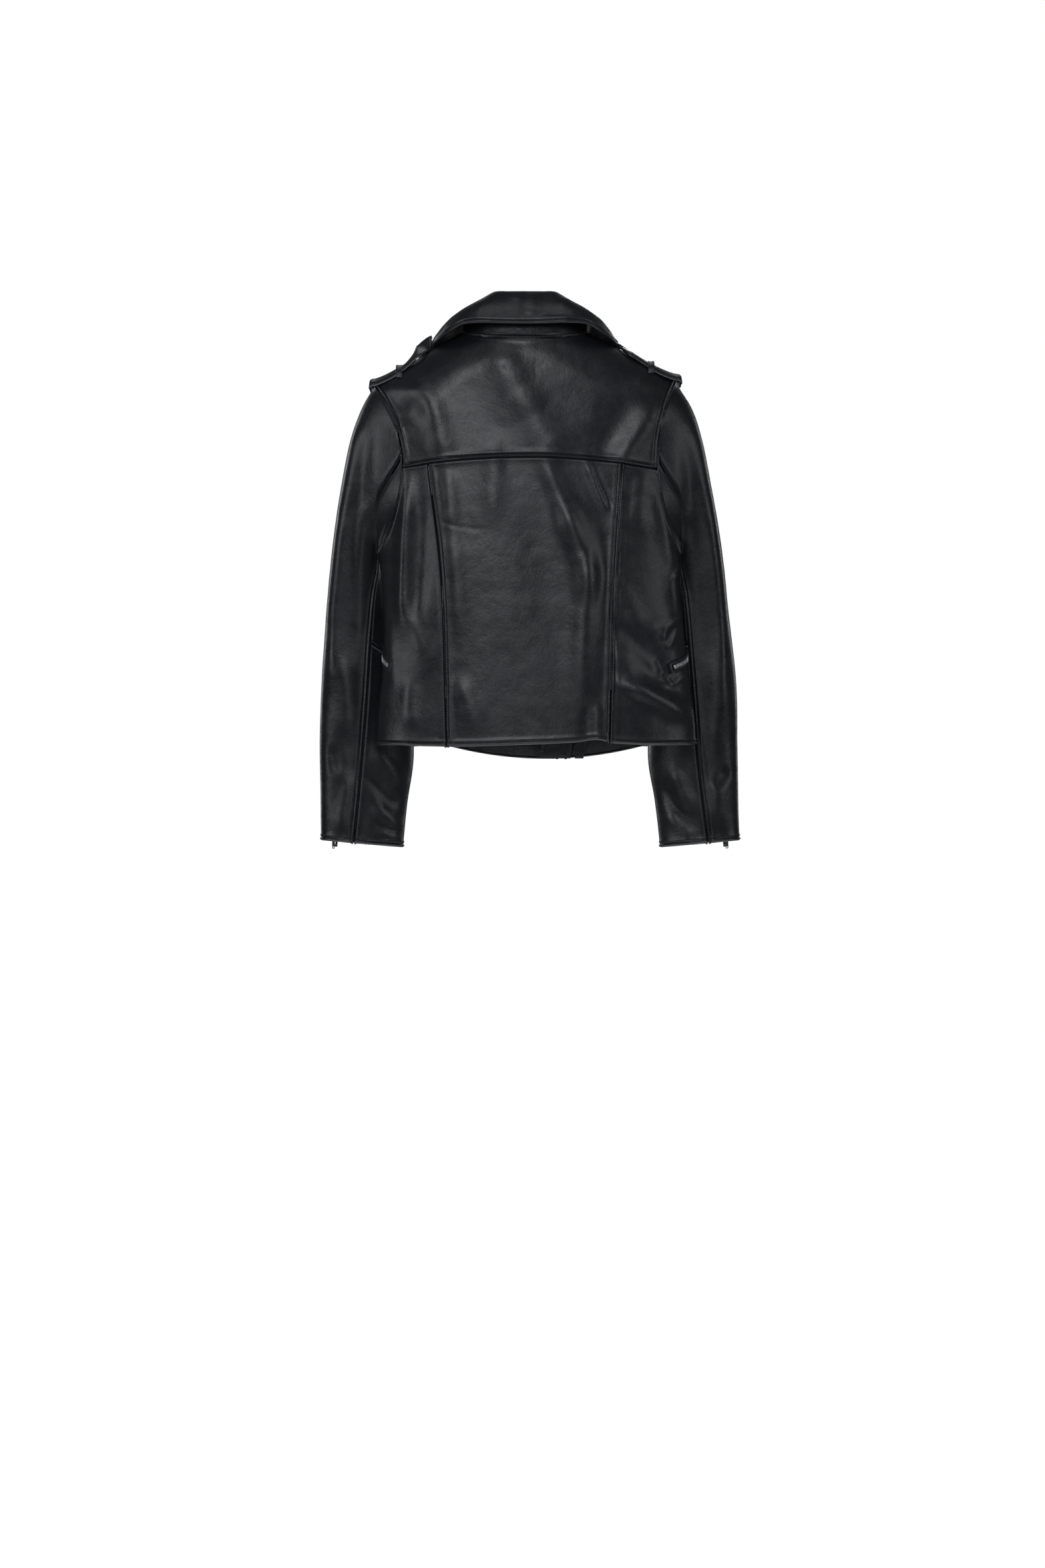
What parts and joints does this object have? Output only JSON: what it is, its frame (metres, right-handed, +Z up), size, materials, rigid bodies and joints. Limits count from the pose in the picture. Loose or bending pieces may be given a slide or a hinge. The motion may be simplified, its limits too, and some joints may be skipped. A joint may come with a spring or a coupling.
{
  "type": "leather riding jacket",
  "caption": "Cropped leather riding jacket with asymmetric front zip, fold-down collar and lapels, shoulder straps, zipped pockets and zipped cuffs, in its hanging shape.",
  "frame": {"origin": "middle of the neck opening at the height of the back neck seam, where a hanger carries the jacket", "axes": "+X the wearer's left, +Y the back of the jacket, +Z up"},
  "size_m": [0.5682, 0.1662, 0.755],
  "materials": {
    "black_leather": "semi-matte smooth nappa with soft broad highlights",
    "lining_fabric": "satin twill lining",
    "zip_tape": "woven zip tape",
    "silver_metal": "polished nickel",
    "label_fabric": "plain woven label without text"
  },
  "bodies": {
    "root": {"back_centre_panel": "black_leather", "back_lining": "lining_fabric", "back_yoke": "black_leather", "chest_pocket_bag": "lining_fabric", "chest_pocket_zip_chain": "silver_metal", "collar": "black_leather", "collar_stand": "black_leather", "epaulette_keeper_left": "black_leather", "epaulette_keeper_right": "black_leather", "epaulette_left": "black_leather", "epaulette_right": "black_leather", "epaulette_snap_left": "silver_metal", "epaulette_snap_right": "silver_metal", "front_facing_left": "black_leather", "front_facing_right": "black_leather", "front_lining_left": "lining_fabric", "front_lining_right": "lining_fabric", "front_panel_left": "black_leather", "front_panel_right": "black_leather", "hand_pocket_bag_left": "lining_fabric", "hand_pocket_bag_right": "lining_fabric", "hand_pocket_zip_left_chain": "silver_metal", "hand_pocket_zip_right_chain": "silver_metal", "hanging_loop": "black_leather", "main_zip_box": "silver_metal", "main_zip_chain": "silver_metal", "main_zip_tape_left": "zip_tape", "main_zip_tape_right": "zip_tape", "neck_label": "label_fabric", "side_panel_left": "black_leather", "side_panel_right": "black_leather"},
    "sleeve_left": {"upper_sleeve_left": "black_leather", "under_sleeve_left": "black_leather", "under_forearm_left": "black_leather", "sleeve_lining_left": "lining_fabric", "cuff_zip_left_chain": "silver_metal"},
    "lapel_left": {"lapel_left": "black_leather", "lapel_snap_left": "silver_metal"},
    "epaulette_tip_left": {"epaulette_tip_left": "black_leather"},
    "sleeve_right": {"upper_sleeve_right": "black_leather", "under_sleeve_right": "black_leather", "under_forearm_right": "black_leather", "sleeve_lining_right": "lining_fabric", "cuff_zip_right_chain": "silver_metal"},
    "lapel_right": {"lapel_right": "black_leather", "lapel_snap_right": "silver_metal"},
    "epaulette_tip_right": {"epaulette_tip_right": "black_leather"},
    "main_zip_slider": {"main_zip_slider": "silver_metal"},
    "main_zip_puller": {"main_zip_puller": "silver_metal"},
    "chest_pocket_zip_slider": {"chest_pocket_zip_slider": "silver_metal"},
    "chest_pocket_zip_puller": {"chest_pocket_zip_puller": "silver_metal"},
    "hand_pocket_zip_left_slider": {"hand_pocket_zip_left_slider": "silver_metal"},
    "hand_pocket_zip_left_puller": {"hand_pocket_zip_left_puller": "silver_metal"},
    "hand_pocket_zip_right_slider": {"hand_pocket_zip_right_slider": "silver_metal"},
    "hand_pocket_zip_right_puller": {"hand_pocket_zip_right_puller": "silver_metal"},
    "cuff_zip_left_slider": {"cuff_zip_left_slider": "silver_metal"},
    "cuff_zip_left_puller": {"cuff_zip_left_puller": "silver_metal"},
    "cuff_zip_right_slider": {"cuff_zip_right_slider": "silver_metal"},
    "cuff_zip_right_puller": {"cuff_zip_right_puller": "silver_metal"}
  },
  "joints": [
    {"name": "sleeve_left_swing", "type": "hinge", "parent": "root", "child": "sleeve_left", "pos_m": [0.203, -0.006, -0.067], "axis": [0, -1, 0], "range_deg": [0, 8]},
    {"name": "sleeve_right_swing", "type": "hinge", "parent": "root", "child": "sleeve_right", "pos_m": [-0.204, -0.006, -0.06], "axis": [0, 1, 0], "range_deg": [0, 8]},
    {"name": "lapel_left_lift", "type": "hinge", "parent": "root", "child": "lapel_left", "pos_m": [0.076, -0.05802, -0.04], "axis": [-0.7665, -0.0004, -0.6423], "range_deg": [0, 100]},
    {"name": "lapel_right_lift", "type": "hinge", "parent": "root", "child": "lapel_right", "pos_m": [-0.078, -0.05693, -0.038], "axis": [0.1874, 0.0045, 0.9823], "range_deg": [0, 100]},
    {"name": "epaulette_tip_left_lift", "type": "hinge", "parent": "root", "child": "epaulette_tip_left", "pos_m": [0.164, -0.006, -0.03868], "axis": [0, 1, 0], "range_deg": [0, 70]},
    {"name": "epaulette_tip_right_lift", "type": "hinge", "parent": "root", "child": "epaulette_tip_right", "pos_m": [-0.164, -0.006, -0.0338], "axis": [0, -1, 0], "range_deg": [0, 70]},
    {"name": "main_zip_slide", "type": "slide", "parent": "root", "child": "main_zip_slider", "axis": [0.141, -0.0107, -0.9899], "range_m": [0, 0.352]},
    {"name": "main_zip_pull", "type": "hinge", "parent": "main_zip_slider", "child": "main_zip_puller", "pos_m": [-0.10145, -0.06171, -0.20289], "axis": [-0.99, 0, -0.1411], "range_deg": [0, 95]},
    {"name": "chest_pocket_zip_slide", "type": "slide", "parent": "root", "child": "chest_pocket_zip_slider", "axis": [0.977, 0.1113, 0.1818], "range_m": [0, 0.068]},
    {"name": "chest_pocket_zip_pull", "type": "hinge", "parent": "chest_pocket_zip_slider", "child": "chest_pocket_zip_puller", "pos_m": [0.05826, -0.06552, -0.26018], "axis": [0.1805, 0.0217, -0.9833], "range_deg": [0, 95]},
    {"name": "hand_pocket_zip_left_slide", "type": "slide", "parent": "root", "child": "hand_pocket_zip_left_slider", "axis": [0.7986, 0.2443, -0.5501], "range_m": [0, 0.052]},
    {"name": "hand_pocket_zip_left_pull", "type": "hinge", "parent": "hand_pocket_zip_left_slider", "child": "hand_pocket_zip_left_puller", "pos_m": [0.12094, -0.05708, -0.3775], "axis": [-0.5356, -0.1285, -0.8346], "range_deg": [0, 95]},
    {"name": "hand_pocket_zip_right_slide", "type": "slide", "parent": "root", "child": "hand_pocket_zip_right_slider", "axis": [-0.8186, 0.1968, -0.5396], "range_m": [0, 0.055]},
    {"name": "hand_pocket_zip_right_pull", "type": "hinge", "parent": "hand_pocket_zip_right_slider", "child": "hand_pocket_zip_right_puller", "pos_m": [-0.13114, -0.05785, -0.3774], "axis": [-0.5247, 0.1259, 0.8419], "range_deg": [0, 95]},
    {"name": "cuff_zip_left_slide", "type": "slide", "parent": "sleeve_left", "child": "cuff_zip_left_slider", "axis": [-0.0042, -0.0531, 0.9986], "range_m": [0, 0.07]},
    {"name": "cuff_zip_left_pull", "type": "hinge", "parent": "cuff_zip_left_slider", "child": "cuff_zip_left_puller", "pos_m": [0.26403, -0.08425, -0.67858], "axis": [-0.3286, -0.9431, -0.0516], "range_deg": [0, 95]},
    {"name": "cuff_zip_right_slide", "type": "slide", "parent": "sleeve_right", "child": "cuff_zip_right_slider", "axis": [0.0431, -0.0531, 0.9977], "range_m": [0, 0.07]},
    {"name": "cuff_zip_right_pull", "type": "hinge", "parent": "cuff_zip_right_slider", "child": "cuff_zip_right_puller", "pos_m": [-0.27735, -0.08435, -0.67833], "axis": [-0.3399, 0.9383, 0.0646], "range_deg": [0, 95]}
  ]
}
